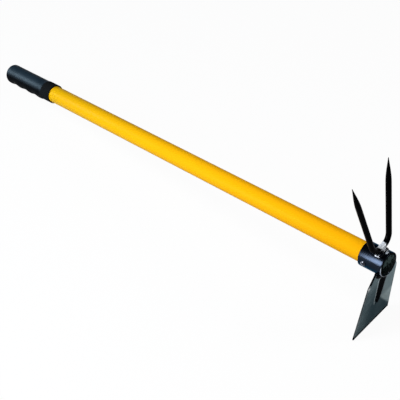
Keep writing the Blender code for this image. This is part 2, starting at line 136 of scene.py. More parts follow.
floor_material = bpy.data.materials.new("white_table")
floor_material.use_nodes = True
tree = floor_material.node_tree
tree.nodes.clear()
rays = tree.nodes.new("ShaderNodeLightPath").outputs
table_white = tree.nodes.new("ShaderNodeBsdfDiffuse")
table_colour = blended(tree, rays["Is Camera Ray"], TABLE_GREY, TABLE_SEEN)
tree.links.new(table_colour, table_white.inputs["Color"])
seen = worked_out(tree, "MULTIPLY", rays["Is Camera Ray"], WHITE_SEEN)
mirrored = worked_out(tree, "MULTIPLY", rays["Is Glossy Ray"], WHITE_MIRRORED)
glow = tree.nodes.new("ShaderNodeEmission")
table_and_glow = tree.nodes.new("ShaderNodeMixShader")
tree.links.new(worked_out(tree, "ADD", seen, mirrored), table_and_glow.inputs["Fac"])
tree.links.new(table_white.outputs["BSDF"], table_and_glow.inputs[1])
tree.links.new(glow.outputs["Emission"], table_and_glow.inputs[2])
floor_output = tree.nodes.new("ShaderNodeOutputMaterial")
tree.links.new(table_and_glow.outputs["Shader"], floor_output.inputs["Surface"])

bm = bmesh.new()
bmesh.ops.create_circle(bm, cap_ends=True, segments=FLOOR_STEPS, radius=FLOOR_RADIUS)
bmesh.ops.translate(bm, verts=bm.verts, vec=(0, 0, -FLOOR_DROP))
floor_mesh = bpy.data.meshes.new("table")
bm.to_mesh(floor_mesh)
bm.free()
floor_mesh.materials.append(floor_material)
floor = bpy.data.objects.new("table", floor_mesh)
bpy.context.scene.collection.objects.link(floor)
floor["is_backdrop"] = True

add_lamp(
    "head_softbox",
    place=(-0.35, -1.15, 0.64),
    faces=(0.40, 0, 0.13),
    size=(0.44, 0.98),
    spread=100,
    watts=5.6,
    colour=(0.88, 0.92, 1),
)
add_lamp(
    "grip_softbox",
    place=(-0.796, -0.288, 0.25),
    faces=(-0.31, 0, 0.03),
    size=(0.22, 0.28),
    spread=180,
    watts=1.35,
    colour=(0.62, 0.84, 1),
)
add_lamp(
    "top_softbox",
    place=(0.08, -0.40, 1.10),
    faces=(0.10, 0, 0.08),
    size=(0.40, 0.40),
    spread=180,
    watts=6.4,
    colour=(1, 1, 1),
    mirrored=False,
)
add_lamp(
    "front_softbox",
    place=(1.20, 0.85, 0.98),
    faces=(0.35, 0, 0.13),
    size=(0.50, 0.50),
    spread=180,
    watts=6.0,
    colour=(1, 1, 1),
)

world = bpy.data.worlds.new("studio")
world.use_nodes = True
bpy.context.scene.world = world
tree = world.node_tree
rays = tree.nodes.new("ShaderNodeLightPath").outputs
sky = blended(tree, rays["Is Camera Ray"], CEILING, SKY_SEEN)
tree.links.new(sky, tree.nodes["Background"].inputs["Color"])
bpy.context.scene.view_settings.view_transform = "Standard"

# Socket
# A short, thick steel tube, sawn off and filed at its rims, that joins the head to the handle.
# Its dark paint has a blue metallic sheen. Its sawn front face is painted darker, as shade.
# Its front rim is painted pale like bare steel on the left and below, as a highlight, and so
# is a spot on top.
PITCH = math.radians(8.61926)  # of the handle, with the tool on its blade's edge and its grip
FRONT_RING = (0.356849, 0, 0.123760)  # where the middle of the socket's front comes to lie
LAID_ON_TABLE = Matrix.Translation(FRONT_RING) @ Matrix.Rotation(-PITCH, 4, "Y")
TUBE_RADIUS = 0.0127
SOCKET_RADIUS = 0.0155
SOCKET_LENGTH = 0.0321
SOCKET_EDGE = 0.0006
SLIDING_FIT = 0.00005
ROUND_STEPS = 128
MERGE_DISTANCE = 1e-6
SOFT_EDGE_ANGLE = math.radians(35)
STREAK_STRETCH = 0.12  # the width of a fine rub as a share of its length, nearly lengthways
SOCKET_COLOUR = (0.025, 0.033, 0.047, 1)
SOCKET_WORN_COLOUR = (0.035, 0.046, 0.066, 1)
SAWN_SHADE_COLOUR = (0.0012, 0.0016, 0.0024, 1)
SAWN_SHADE_WORN_COLOUR = (0.0035, 0.0070, 0.0160, 1)
RIM_GLINT_COLOUR = (0.72, 0.79, 0.86, 1)
RIM_GLINT_SHOWS = (0.36, 0.66)  # the mark at which the painted highlight, pale like bare steel, begins to show and is full
RIM_GLINT_SIDE = math.radians(215)  # round the rim from the right side by way of the top
RIM_GLINT_REACH = 0.45  # the cosine of half the arc that is painted as a highlight
RIM_GLINT_CRISPNESS = 3.5
RIM_MARK, RIM_MARK_SWING = 0.6, 0.4  # at the ends of that arc, and how far it goes up or down
GLINT_SPOT_MIDDLE = (-0.0036, 0.0024)  # a painted highlight, pale like bare steel, on top, before the fork's weld
GLINT_SPOT_REACH = (0.0014, 0.0030)
GLINT_SPOT_RINGS = [-0.0023 - 0.0004 * i for i in range(9)]  # a finer mesh under the spot


def lathe_turned(profile, steps):
    """A solid turned round the handle's axis from (place along the handle, radius) points."""
    bm = bmesh.new()
    points = [bm.verts.new((x, 0, radius)) for x, radius in profile]
    lines = [bm.edges.new(pair) for pair in zip(points, points[1:])]
    bmesh.ops.spin(
        bm,
        geom=points + lines,
        axis=(1, 0, 0),
        cent=(0, 0, 0),
        angle=math.tau,
        steps=steps,
        use_merge=True,
        use_duplicate=False,
    )
    bmesh.ops.remove_doubles(bm, verts=bm.verts, dist=MERGE_DISTANCE)
    bmesh.ops.recalc_face_normals(bm, faces=bm.faces)
    return bm


def break_edges(bm, width, segments=3, sharper_than=math.radians(40)):
    """Round off the edges where two faces meet at a sharp angle."""
    sharp = [
        edge
        for edge in bm.edges
        if edge.is_manifold and edge.calc_face_angle() > sharper_than
    ]
    bmesh.ops.bevel(
        bm,
        geom=sharp,
        offset=width,
        segments=segments,
        profile=0.5,
        affect="EDGES",
        material=-1,
        clamp_overlap=True,
    )


def add_piece(name, bm, material, cad_node):
    """Finish a piece: faces outwards, smooth, in its place, with its material and its node."""
    bmesh.ops.recalc_face_normals(bm, faces=bm.faces)
    if bm.calc_volume(signed=True) < 0:
        bmesh.ops.reverse_faces(bm, faces=bm.faces)
    bmesh.ops.transform(bm, matrix=LAID_ON_TABLE, verts=bm.verts)
    mesh = bpy.data.meshes.new(name)
    bm.to_mesh(mesh)
    bm.free()
    mesh.shade_smooth()
    mesh.set_sharp_from_angle(angle=SOFT_EDGE_ANGLE)
    mesh.materials.append(material)
    piece = bpy.data.objects.new(name, mesh)
    bpy.context.scene.collection.objects.link(piece)
    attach(piece, "root")
    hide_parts(cad_node)
    return piece


def object_place(tree):
    """Where a point of the piece is on the table."""
    return tree.nodes.new("ShaderNodeTexCoord").outputs["Object"]


def one_axis(tree, vector, axis):
    """A vector's X, Y or Z."""
    node = tree.nodes.new("ShaderNodeSeparateXYZ")
    tree.links.new(vector, node.inputs["Vector"])
    return node.outputs[axis]


def mark_on(tree, name):
    """The mark of this name on the piece's points."""
    mark = tree.nodes.new("ShaderNodeAttribute")
    mark.attribute_name = name
    return mark.outputs["Fac"]


def noise(tree, vector, scale, detail, roughness):
    """A noise texture, in features per metre."""
    node = tree.nodes.new("ShaderNodeTexNoise")
    node.inputs["Detail"].default_value = detail
    node.inputs["Roughness"].default_value = roughness
    give(tree, node.inputs["Scale"], scale)
    tree.links.new(vector, node.inputs["Vector"])
    return node.outputs["Fac"]


def ranged(tree, value, low, high, to_low=0.0, to_high=1.0):
    """A value whose range from low to high becomes the range from to_low to to_high, smoothly."""
    node = tree.nodes.new("ShaderNodeMapRange")
    node.interpolation_type = "SMOOTHSTEP"
    for label, number in zip(
        ("From Min", "From Max", "To Min", "To Max"), (low, high, to_low, to_high)
    ):
        node.inputs[label].default_value = number
    tree.links.new(value, node.inputs["Value"])
    return node.outputs["Result"]


def varied(tree, value, least, most):
    """A number that goes from least to most as a value goes from nought to one."""
    return ranged(tree, value, 0.0, 1.0, least, most)


def raised(tree, value, other, share):
    """A value with a share of another one added to it."""
    return worked_out(tree, "ADD", value, worked_out(tree, "MULTIPLY", other, share))


def bumped(tree, height, distance):
    """The normal that a height gives, where the height's whole range is this many metres."""
    node = tree.nodes.new("ShaderNodeBump")
    node.inputs["Distance"].default_value = distance
    tree.links.new(height, node.inputs["Height"])
    return node.outputs["Normal"]


def painted_skin():
    """The skin of sprayed paint: its orange peel, its drift in colour, and fine rubs."""
    group = bpy.data.node_groups.new("painted_skin", "ShaderNodeTree")
    for label in ("Peel size", "Drift size", "Rub amount"):
        group.interface.new_socket(label, in_out="INPUT", socket_type="NodeSocketFloat")
    for label in ("Height", "Drift", "Rubs"):
        group.interface.new_socket(label, in_out="OUTPUT", socket_type="NodeSocketFloat")
    given = group.nodes.new("NodeGroupInput").outputs
    result = group.nodes.new("NodeGroupOutput").inputs
    place = object_place(group)
    peel = noise(group, place, given["Peel size"], detail=2.0, roughness=0.5)
    drift = noise(group, place, given["Drift size"], detail=3.0, roughness=0.5)
    along_handle = group.nodes.new("ShaderNodeMapping")
    along_handle.inputs["Rotation"].default_value = (0, PITCH, 0)
    along_handle.inputs["Scale"].default_value = (STREAK_STRETCH, 1.0, 1.0)
    group.links.new(place, along_handle.inputs["Vector"])
    streaks = noise(group, along_handle.outputs["Vector"], 420.0, detail=4.0, roughness=0.7)
    patches = noise(group, place, 34.0, detail=3.0, roughness=0.6)
    rubbed = worked_out(
        group, "MULTIPLY", ranged(group, streaks, 0.56, 0.72), ranged(group, patches, 0.45, 0.7)
    )
    rubbed = worked_out(group, "MULTIPLY", rubbed, given["Rub amount"])
    group.links.new(peel, result["Height"])
    group.links.new(ranged(group, drift, 0.3, 0.7), result["Drift"])
    group.links.new(rubbed, result["Rubs"])
    return group


def new_paint(name, peel_size, drift_size, rub_amount):
    """A material with the painted skin in it: (material, shader, skin, node tree)."""
    material = bpy.data.materials.new(name)
    material.use_nodes = True
    tree = material.node_tree
    skin = tree.nodes.new("ShaderNodeGroup")
    skin.node_tree = PAINTED_SKIN
    skin.inputs["Peel size"].default_value = peel_size
    skin.inputs["Drift size"].default_value = drift_size
    skin.inputs["Rub amount"].default_value = rub_amount
    return material, tree.nodes["Principled BSDF"], skin.outputs, tree


def nearness(place, middle, reach):
    """One in the middle of a spot, and nought at twice its reach."""
    away = [(co - mid) / far for co, mid, far in zip(place, middle, reach)]
    return 1 - math.hypot(*away) / 2


PAINTED_SKIN = painted_skin()

socket_paint, shader, skin, tree = new_paint(
    "socket_paint", peel_size=620.0, drift_size=30.0, rub_amount=0.6
)
# The rim mark paints a highlight, pale like bare steel, on the left and lower arc of the front
# rim and on a spot on top.
bare_glint = ranged(tree, mark_on(tree, "rim"), *RIM_GLINT_SHOWS)
colour = blended(tree, skin["Rubs"], SOCKET_COLOUR, SOCKET_WORN_COLOUR)
colour = blended(tree, bare_glint, colour, RIM_GLINT_COLOUR)
tree.links.new(colour, shader.inputs["Base Color"])
tree.links.new(worked_out(tree, "SUBTRACT", 1.0, bare_glint), shader.inputs["Metallic"])
roughness = varied(tree, skin["Drift"], least=0.22, most=0.29)
roughness = raised(tree, roughness, skin["Rubs"], share=0.2)
tree.links.new(roughness, shader.inputs["Roughness"])
tree.links.new(bumped(tree, skin["Height"], 0.00003), shader.inputs["Normal"])
shader.inputs["Specular Tint"].default_value = (0.42, 0.66, 0.92, 1)

# The sawn front face is painted darker than the rest of the socket, as shade.
sawn_shade_paint, shader, skin, tree = new_paint(
    "sawn_face_shade_paint", peel_size=620.0, drift_size=60.0, rub_amount=0.6
)
bare_glint = ranged(tree, mark_on(tree, "rim"), *RIM_GLINT_SHOWS)
colour = blended(tree, skin["Rubs"], SAWN_SHADE_COLOUR, SAWN_SHADE_WORN_COLOUR)
colour = blended(tree, bare_glint, colour, RIM_GLINT_COLOUR)
tree.links.new(colour, shader.inputs["Base Color"])
roughness = varied(tree, skin["Drift"], least=0.45, most=0.60)
tree.links.new(roughness, shader.inputs["Roughness"])
tree.links.new(bumped(tree, skin["Height"], 0.00003), shader.inputs["Normal"])
shader.inputs["Specular IOR Level"].default_value = 0.02

bore = TUBE_RADIUS + SLIDING_FIT
rear = -SOCKET_LENGTH
profile = [(0, bore), (0, SOCKET_RADIUS), (-3 * SOCKET_EDGE, SOCKET_RADIUS)]
profile += [(x, SOCKET_RADIUS) for x in GLINT_SPOT_RINGS]
profile += [(rear, SOCKET_RADIUS), (rear, bore), (0, bore)]
bm = lathe_turned(profile, ROUND_STEPS)
break_edges(bm, SOCKET_EDGE)
# The rim mark: where the painted highlight lies on the front rim and on the spot on top.
rim = bm.verts.layers.float.new("rim")
for point in bm.verts:
    radius = math.hypot(point.co.y, point.co.z)
    point[rim] = max(0, 1 - math.hypot(point.co.x, radius - SOCKET_RADIUS) / (2 * SOCKET_EDGE))
    from_glint_side = math.cos(math.atan2(point.co.z, point.co.y) - RIM_GLINT_SIDE)
    swing = min(1, max(-1, RIM_GLINT_CRISPNESS * (from_glint_side - RIM_GLINT_REACH)))
    point[rim] *= RIM_MARK + RIM_MARK_SWING * swing
    if point.co.z > 0 and radius > SOCKET_RADIUS - SOCKET_EDGE / 2:
        point[rim] = max(point[rim], nearness(point.co, GLINT_SPOT_MIDDLE, GLINT_SPOT_REACH))
for face in bm.faces:
    if all(point.co.x > -SOCKET_EDGE / 2 for point in face.verts):
        face.material_index = 1
socket = add_piece("socket_tube", bm, socket_paint, "socket")
socket.data.materials.append(sawn_shade_paint)

# Blade
# A steel plate, blanked with a notch for the socket, with one groove pressed down its middle and
# its edge ground thin from the front. Its dark paint is painted pale as a reflection in places,
# mostly front right, dark as shade in the groove, at the top of its sides and along its edge,
# and bright as a highlight on the groove's left lip and at the shoulders.
BLADE_THICKNESS = 0.0020
BLADE_SET_BACK = 0.0070
BLADE_LEAN = math.radians(11.0)
BLADE_REACH = 0.1075
BLADE_EDGE_WIDTH = 0.0700
BLADE_SHOULDER_WIDTH = 0.0536
BLADE_SHOULDER_DROP = 0.0087
BLADE_EAR_WIDTH = 0.0029
BLADE_EAR_RISE = 0.0110
BLADE_CORNER_RADIUS = 0.0020
BLADE_NOTCH_RADIUS = 0.0158
BLADE_BURR = 0.00022
EDGE_THICKNESS = 0.0005
EDGE_GRIND_HEIGHT = 0.0035
GROOVE_TOP = 0.00615
GROOVE_FADE = 0.0060
GROOVE_DEPTH = 0.0024
GROOVE_TOP_WIDTH = 0.0150
GROOVE_LOW_WIDTH = 0.0090
GROOVE_FROM_EDGE = 0.0430
GROOVE_TIP_LENGTH = 0.0160
GROOVE_TIP_BLUNTNESS = 0.20
GROOVE_SOFTNESS = 0.10
GROOVE_LIP = 0.0012
GROOVE_SHADE_ASIDE = 0.0028  # the painted shade in the groove lies towards its right flank
BLADE_COLUMNS = 72
BLADE_ROWS = 104
PLACING_ROUNDS = 12  # a point's drop and side depend on each other
BLADE_COLOUR = (0.004, 0.022, 0.032, 1)
BLADE_REFLECTION_COLOUR = (0.860, 0.930, 0.900, 1)
BLADE_SHADE_COLOUR = (0.0015, 0.0022, 0.0040, 1)
BLADE_HIGHLIGHT_COLOUR = (1.0, 0.98, 0.96, 1)
# The painted shade, reflections and highlights: (where they begin or end, over what length
# they come or go), measured down from the socket's underside. LEFT_BEGINS and RIGHT_BEGINS go
# out from the blade's middle.
BORDER_SHADE_ENDS = (0.002, 0.004)
EDGE_SHADE_BEGINS = (BLADE_REACH - 0.0105, 0.0035)
BACK_REFLECTION = 0.1  # the painted reflection on the back is even
UPPER_REFLECTION, UPPER_REFLECTION_LOSS = 0.34, 0.24
UPPER_LOSES = (0.012, 0.040)
UPPER_ENDS = (0.052, 0.030)
LEFT_REFLECTION = 0.29
LEFT_BEGINS = (0.002, 0.020)
RIGHT_REFLECTION = 0.56  # above; below it is one
RIGHT_BEGINS = (0.002, 0.006)
RIGHT_GAINS = (0.050, 0.012)
RIGHT_ENDS = (0.043, 0.008)
RIGHT_END_SLANT = 1.4
LIP_HIGHLIGHT_TO = BLADE_REACH - GROOVE_FROM_EDGE - 0.004
LIP_HIGHLIGHT_INSIDE = 0.0004
LIP_HIGHLIGHT_WIDTH = 0.0034
SHOULDER_HIGHLIGHT_REACH = 0.005


def clamped(value):
    """A value kept between nought and one."""
    return min(1, max(0, value))


def eased(value, start, length):
    """Nought before the start and one at a length beyond it, level at both ends."""
    share = clamped((value - start) / length)
    return share * share * (3 - 2 * share)


def blade_side(drop):
    """Half the blade's width, at a distance below the socket's underside."""
    shoulder, edge = BLADE_SHOULDER_WIDTH / 2, BLADE_EDGE_WIDTH / 2
    if drop < BLADE_SHOULDER_DROP:
        ear = BLADE_NOTCH_RADIUS + BLADE_EAR_WIDTH
        share = (drop + BLADE_EAR_RISE) / (BLADE_SHOULDER_DROP + BLADE_EAR_RISE)
        return ear + (shoulder - ear) * share
    share = (drop - BLADE_SHOULDER_DROP) / (BLADE_REACH - BLADE_SHOULDER_DROP)
    into_corner = clamped((drop - (BLADE_REACH - BLADE_CORNER_RADIUS)) / BLADE_CORNER_RADIUS)
    rounding = BLADE_CORNER_RADIUS * (1 - math.sqrt(1 - into_corner**2))
    return shoulder + (edge - shoulder) * share - rounding


def groove_outline(drop):
    """Half the groove's width before its tip, and what share of it the rounded tip leaves."""
    tip = BLADE_REACH - GROOVE_FROM_EDGE
    share = clamped((drop - GROOVE_TOP) / (tip - GROOVE_TOP))
    half_width = (GROOVE_TOP_WIDTH + (GROOVE_LOW_WIDTH - GROOVE_TOP_WIDTH) * share) / 2
    into_tip = clamped((drop - (tip - GROOVE_TIP_LENGTH)) / GROOVE_TIP_LENGTH)
    return half_width, math.sqrt(1 - into_tip**2)


def groove_depth(drop, side):
    """How far the pressed groove goes back, at a point of the blade."""
    half_width, tip_round = groove_outline(drop)
    depth = GROOVE_DEPTH * eased(drop, GROOVE_TOP, GROOVE_FADE) * tip_round
    across = abs(side) / (half_width * max(GROOVE_TIP_BLUNTNESS, tip_round))
    rounded = math.hypot(across, GROOVE_SOFTNESS) - GROOVE_SOFTNESS
    flank = 1 - rounded / (math.hypot(1, GROOVE_SOFTNESS) - GROOVE_SOFTNESS)
    return depth * max(0, flank)


def into_groove(drop, side):
    """How far a point of the blade is inside the groove's border, less than nought outside it."""
    half_width, tip_round = groove_outline(drop)
    return half_width * tip_round - abs(side)


def notch_edge(side, forward):
    """Where the plate begins below the socket's underside, at a distance from the middle."""
    side = abs(side)
    if side >= BLADE_NOTCH_RADIUS:
        return -BLADE_EAR_RISE
    height = math.sqrt(BLADE_NOTCH_RADIUS**2 - side**2)
    drop = (height - SOCKET_RADIUS - forward * math.sin(BLADE_LEAN)) / math.cos(BLADE_LEAN)
    return max(-BLADE_EAR_RISE, drop)


def edge_grind(drop):
    """How much of the plate's front is ground away, at a distance below the socket."""
    into_grind = (drop - (BLADE_REACH - EDGE_GRIND_HEIGHT)) / EDGE_GRIND_HEIGHT
    return (BLADE_THICKNESS - EDGE_THICKNESS) * clamped(into_grind)


def blanked_and_pressed():
    """The plate: a slab of a fine grid, each point of which is put in its place."""
    bm = bmesh.new()
    bmesh.ops.create_grid(bm, x_segments=BLADE_COLUMNS, y_segments=BLADE_ROWS, size=1)
    grown = bmesh.ops.extrude_face_region(bm, geom=bm.faces[:], use_keep_orig=True)["geom"]
    front = [part for part in grown if isinstance(part, bmesh.types.BMVert)]
    bmesh.ops.translate(bm, verts=front, vec=(0, 0, 1))
    for point in bm.verts:
        column, row, is_front = point.co.x, (1 - point.co.y) / 2, point.co.z > 0.5
        forward = BLADE_THICKNESS / 2 if is_front else -BLADE_THICKNESS / 2
        drop = BLADE_SHOULDER_DROP
        for _ in range(PLACING_ROUNDS):
            side = column * blade_side(drop)
            top = notch_edge(side, forward)
            drop = top + (BLADE_REACH - top) * row
        forward -= groove_depth(drop, side)
        if is_front:
            forward -= edge_grind(drop)
        point.co = (forward, side, -drop)
    return bm


def painted_reflection_share(drop, side):
    """How strong the painted reflection is on the blade's front, from nought to one."""
    upper = UPPER_REFLECTION - UPPER_REFLECTION_LOSS * eased(drop, *UPPER_LOSES)
    upper *= 1 - eased(drop, *UPPER_ENDS)
    left = LEFT_REFLECTION * eased(-side, *LEFT_BEGINS)
    right = RIGHT_REFLECTION + (1 - RIGHT_REFLECTION) * eased(drop, *RIGHT_GAINS)
    right *= eased(side, *RIGHT_BEGINS)
    right *= 1 - eased(drop - RIGHT_END_SLANT * side, *RIGHT_ENDS)
    return max(upper, left, right)


def mark_blade(bm):
    """Note on each point where shade, a reflection and a highlight are painted."""
    painted_shade = bm.verts.layers.float.new("painted_shade")
    painted_reflection = bm.verts.layers.float.new("painted_reflection")
    rubbed = bm.verts.layers.float.new("rubbed")
    edge_start, edge_fade = EDGE_SHADE_BEGINS
    for point in bm.verts:
        side, drop = point.co.y, -point.co.z
        # Painted shade: in the groove towards its right flank, at the top of the sides under the
        # socket, and along the edge.
        point[painted_shade] = into_groove(drop, side - GROOVE_SHADE_ASIDE) / GROOVE_LIP
        if blade_side(drop) - abs(side) < 2 * BLADE_BURR:
            point[painted_shade] = 1 - eased(drop, *BORDER_SHADE_ENDS)
        point[painted_shade] = max(point[painted_shade], (drop - edge_start) / edge_fade)
        is_back = point.co.x + groove_depth(drop, side) < -BLADE_THICKNESS * 3 / 8
        if is_back:
            point[painted_reflection] = BACK_REFLECTION
            continue
        # A painted reflection, pale mostly on the upper right of the front.
        point[painted_reflection] = painted_reflection_share(drop, side)
        # Painted highlights, bright along the groove's left lip and at the shoulder corners.
        if side < 0 and GROOVE_TOP < drop < LIP_HIGHLIGHT_TO:
            from_lip = abs(into_groove(drop, side) - LIP_HIGHLIGHT_INSIDE)
            point[rubbed] = 1 - from_lip / LIP_HIGHLIGHT_WIDTH
        corner = Vector((abs(side) - BLADE_SHOULDER_WIDTH / 2, drop - BLADE_SHOULDER_DROP))
        point[rubbed] = max(0, point[rubbed], 1 - corner.length / SHOULDER_HIGHLIGHT_REACH)


blade_paint, shader, skin, tree = new_paint(
    "blade_paint", peel_size=560.0, drift_size=16.0, rub_amount=0.8
)
# Pale for the painted reflection, bright for the painted highlights and dark for the painted
# shade.
clouds = noise(tree, object_place(tree), 26.0, detail=4.0, roughness=0.6)
clouds = ranged(tree, clouds, 0.38, 0.68, to_low=-0.08, to_high=0.08)
painted_reflection = ranged(tree, worked_out(tree, "ADD", mark_on(tree, "painted_reflection"), clouds), -0.1, 1.1)
# The painted highlights on the groove's lip and the shoulders.
rubbed = ranged(tree, mark_on(tree, "rubbed"), 0.1, 0.8)
shade_mask = ranged(tree, mark_on(tree, "painted_shade"), 0.3, 0.9)
colour = blended(tree, painted_reflection, BLADE_COLOUR, BLADE_REFLECTION_COLOUR)
colour = blended(tree, rubbed, colour, BLADE_HIGHLIGHT_COLOUR)
colour = blended(tree, shade_mask, colour, BLADE_SHADE_COLOUR)
tree.links.new(colour, shader.inputs["Base Color"])
tree.links.new(worked_out(tree, "SUBTRACT", 1.0, shade_mask), shader.inputs["Metallic"])
roughness = varied(tree, painted_reflection, least=0.24, most=0.34)
roughness = raised(tree, roughness, skin["Rubs"], share=0.15)
tree.links.new(roughness, shader.inputs["Roughness"])
tree.links.new(bumped(tree, skin["Height"], 0.00004), shader.inputs["Normal"])
shader.inputs["Specular IOR Level"].default_value = 0.008
shader.inputs["Specular Tint"].default_value = (0.68, 0.88, 0.96, 1)

bm = blanked_and_pressed()
widest = max(point.co.y for point in bm.verts)
break_edges(bm, BLADE_BURR, segments=2, sharper_than=math.radians(60))
for point in bm.verts:  # the rounding may not push a corner out past the blank
    point.co.y = min(widest, max(-widest, point.co.y))
    point.co.z = max(-BLADE_REACH, point.co.z)
mark_blade(bm)
lean = Matrix.Translation((-BLADE_SET_BACK, 0, -SOCKET_RADIUS)) @ Matrix.Rotation(
    BLADE_LEAN, 4, "Y"
)
bmesh.ops.transform(bm, matrix=lean, verts=bm.verts)
add_piece("blade_plate", bm, blade_paint, "blade")

# Blade welds
# A bead of weld before the plate and one behind it, in the corner between the plate and the
# socket. Each is laid in one run from ear to ear, and shows its ripples under the paint.
BLADE_WELD_ON_PLATE = 0.0050
BLADE_WELD_ON_SOCKET = 0.0030
BLADE_WELD_END = math.radians(22)  # where it stops, below the middle of the socket
BLADE_WELD_END_FILL = 0.25  # its height at its ends, as a share of its height in the middle
BLADE_WELD_SQUARENESS = 6  # how abruptly it falls off towards its ends
BLADE_WELD_RIPPLE = 0.10
BLADE_WELD_RIPPLES = 15
BLADE_WELD_RIPPLE_SLANT = 0.25  # of a ripple, from the plate to the bead's foot on the socket
BLADE_WELD_SWELL, BLADE_WELD_SWELL_PACE = 0.05, 7.3  # its slow change in height
BLADE_WELD_SECTION_STEPS = 9
BLADE_WELD_STEPS = 200
RIPPLE_SHARPNESS = 4
FUSED_FIT = 0.00003
WELD_COLOUR = (0.0022, 0.0028, 0.0045, 1)
WELD_SCALE_COLOUR = (0.0045, 0.0050, 0.0065, 1)
# Bare steel, painted bright on the fork and its weld as highlights.
GLINT_STEEL_COLOUR = (0.88, 0.92, 0.96, 1)
GLINT_STEEL_METALLIC = 0.3


def quarter_turns(steps):
    """The angles of a quarter of a circle, both ends included."""
    return [math.pi / 2 * i / steps for i in range(steps + 1)]


def weld_bead(side):
    """A fillet spun round the underside of the socket, then rippled and sheared to the lean."""
    face = -BLADE_SET_BACK
    face += side * (BLADE_THICKNESS / 2 / math.cos(BLADE_LEAN) + FUSED_FIT)
    inner = SOCKET_RADIUS + FUSED_FIT
    section = [(0, inner)] + [
        (BLADE_WELD_ON_SOCKET * math.sin(turn), inner + BLADE_WELD_ON_PLATE * math.cos(turn))
        for turn in quarter_turns(BLADE_WELD_SECTION_STEPS)
    ]
    span = math.pi - 2 * BLADE_WELD_END
    start_side, start_down = math.sin(span / 2), math.cos(span / 2)
    bm = bmesh.new()
    start = bm.faces.new(
        [bm.verts.new((x, -r * start_side, -r * start_down)) for x, r in section]
    )
    bmesh.ops.spin(
        bm,
        geom=[start],
        axis=(1, 0, 0),
        cent=(0, 0, 0),
        angle=span,
        steps=BLADE_WELD_STEPS,
    )
    bmesh.ops.remove_doubles(bm, verts=bm.verts, dist=1e-7)
    for point in bm.verts:
        radius = math.hypot(point.co.y, point.co.z)
        from_middle = math.atan2(point.co.y, -point.co.z) / (span / 2)
        fill = math.sqrt(max(0, 1 - abs(from_middle) ** BLADE_WELD_SQUARENESS))
        fill = BLADE_WELD_END_FILL + (1 - BLADE_WELD_END_FILL) * fill
        wave = from_middle * BLADE_WELD_RIPPLES / 2
        wave += point.co.x / BLADE_WELD_ON_SOCKET * BLADE_WELD_RIPPLE_SLANT
        fill *= 1 - BLADE_WELD_RIPPLE * (2 * (wave % 1) - 1) ** RIPPLE_SHARPNESS
        fill *= 1 + BLADE_WELD_SWELL * math.sin(from_middle * BLADE_WELD_SWELL_PACE + side)
        grown = (inner + (radius - inner) * fill) / radius
        point.co.y *= grown
        point.co.z *= grown
        lean_back = math.tan(BLADE_LEAN) * (point.co.z + SOCKET_RADIUS)
        point.co.x = face + side * point.co.x * fill + lean_back
    return bm


def painted_glint_mask(tree):
    """One where a highlight is painted in as pale steel, with a ragged border, and nought
    elsewhere.
    """
    ragged = noise(tree, object_place(tree), 260.0, detail=3.0, roughness=0.6)
    ragged = ranged(tree, ragged, 0.3, 0.7, to_low=-0.25, to_high=0.25)
    return ranged(tree, worked_out(tree, "ADD", mark_on(tree, "glint"), ragged), 0.35, 0.65)


def new_weld_paint(name, shine):
    """Paint over weld metal, uneven from its scale, with highlights painted in as pale steel."""
    paint, shader, skin, tree = new_paint(
        name, peel_size=900.0, drift_size=60.0, rub_amount=0.3
    )
    scale = noise(tree, object_place(tree), 480.0, detail=4.0, roughness=0.6)
    scale = ranged(tree, scale, 0.52, 0.75)
    bare_glint = painted_glint_mask(tree)
    metallic = worked_out(tree, "MULTIPLY", bare_glint, GLINT_STEEL_METALLIC)
    colour = blended(tree, scale, WELD_COLOUR, WELD_SCALE_COLOUR)
    colour = blended(tree, bare_glint, colour, GLINT_STEEL_COLOUR)
    tree.links.new(colour, shader.inputs["Base Color"])
    tree.links.new(metallic, shader.inputs["Metallic"])
    roughness = varied(tree, scale, least=0.16, most=0.35)
    roughness = raised(tree, roughness, bare_glint, share=0.25)
    tree.links.new(roughness, shader.inputs["Roughness"])
    tree.links.new(bumped(tree, skin["Height"], 0.00008), shader.inputs["Normal"])
    shader.inputs["Specular IOR Level"].default_value = shine
    return paint


blade_weld_paint = new_weld_paint("blade_weld_paint", shine=0.03)
add_piece("front_bead", weld_bead(1), blade_weld_paint, "blade_weld_front")
add_piece("rear_bead", weld_bead(-1), blade_weld_paint, "blade_weld_rear")

# Fork
# One steel rod with a point drawn out on each end, bent to a U. It stands a little off the top of
# the socket, held by its weld. Black paint, painted bright like bare steel in the middle of the
# bend as a highlight.
FORK_ROD_RADIUS = 0.00345
FORK_SET_BACK = 0.0097
FORK_REACH = 0.1032
FORK_FOOT_STRAIGHT = 0.0057
FORK_BEND_RADIUS = 0.0135
FORK_SPLAY = math.radians(9.8)
FORK_LEAN = math.radians(7.5)
FORK_TAPER_LENGTH = 0.030
FORK_TIP_RADIUS = 0.0004
FORK_TAPER_POWER = 1.2  # above 1, the points are slimmer than a rounded nose
FORK_TAPER_STEPS, FORK_LEG_STEPS, FORK_BEND_STEPS = 24, 6, 32
FORK_SIDES = 32
FORK_STANDS_OFF = 0.0030
FORK_COLOUR = (0.0008, 0.0008, 0.0009, 1)
FORK_RUBBED_COLOUR = (0.0035, 0.0070, 0.0160, 1)
FORK_GLINT = ((-0.0097, 0.0003, 0.0220), (0.0200, 0.0046, 0.0200))  # middle and reach of the highlight painted like bare steel


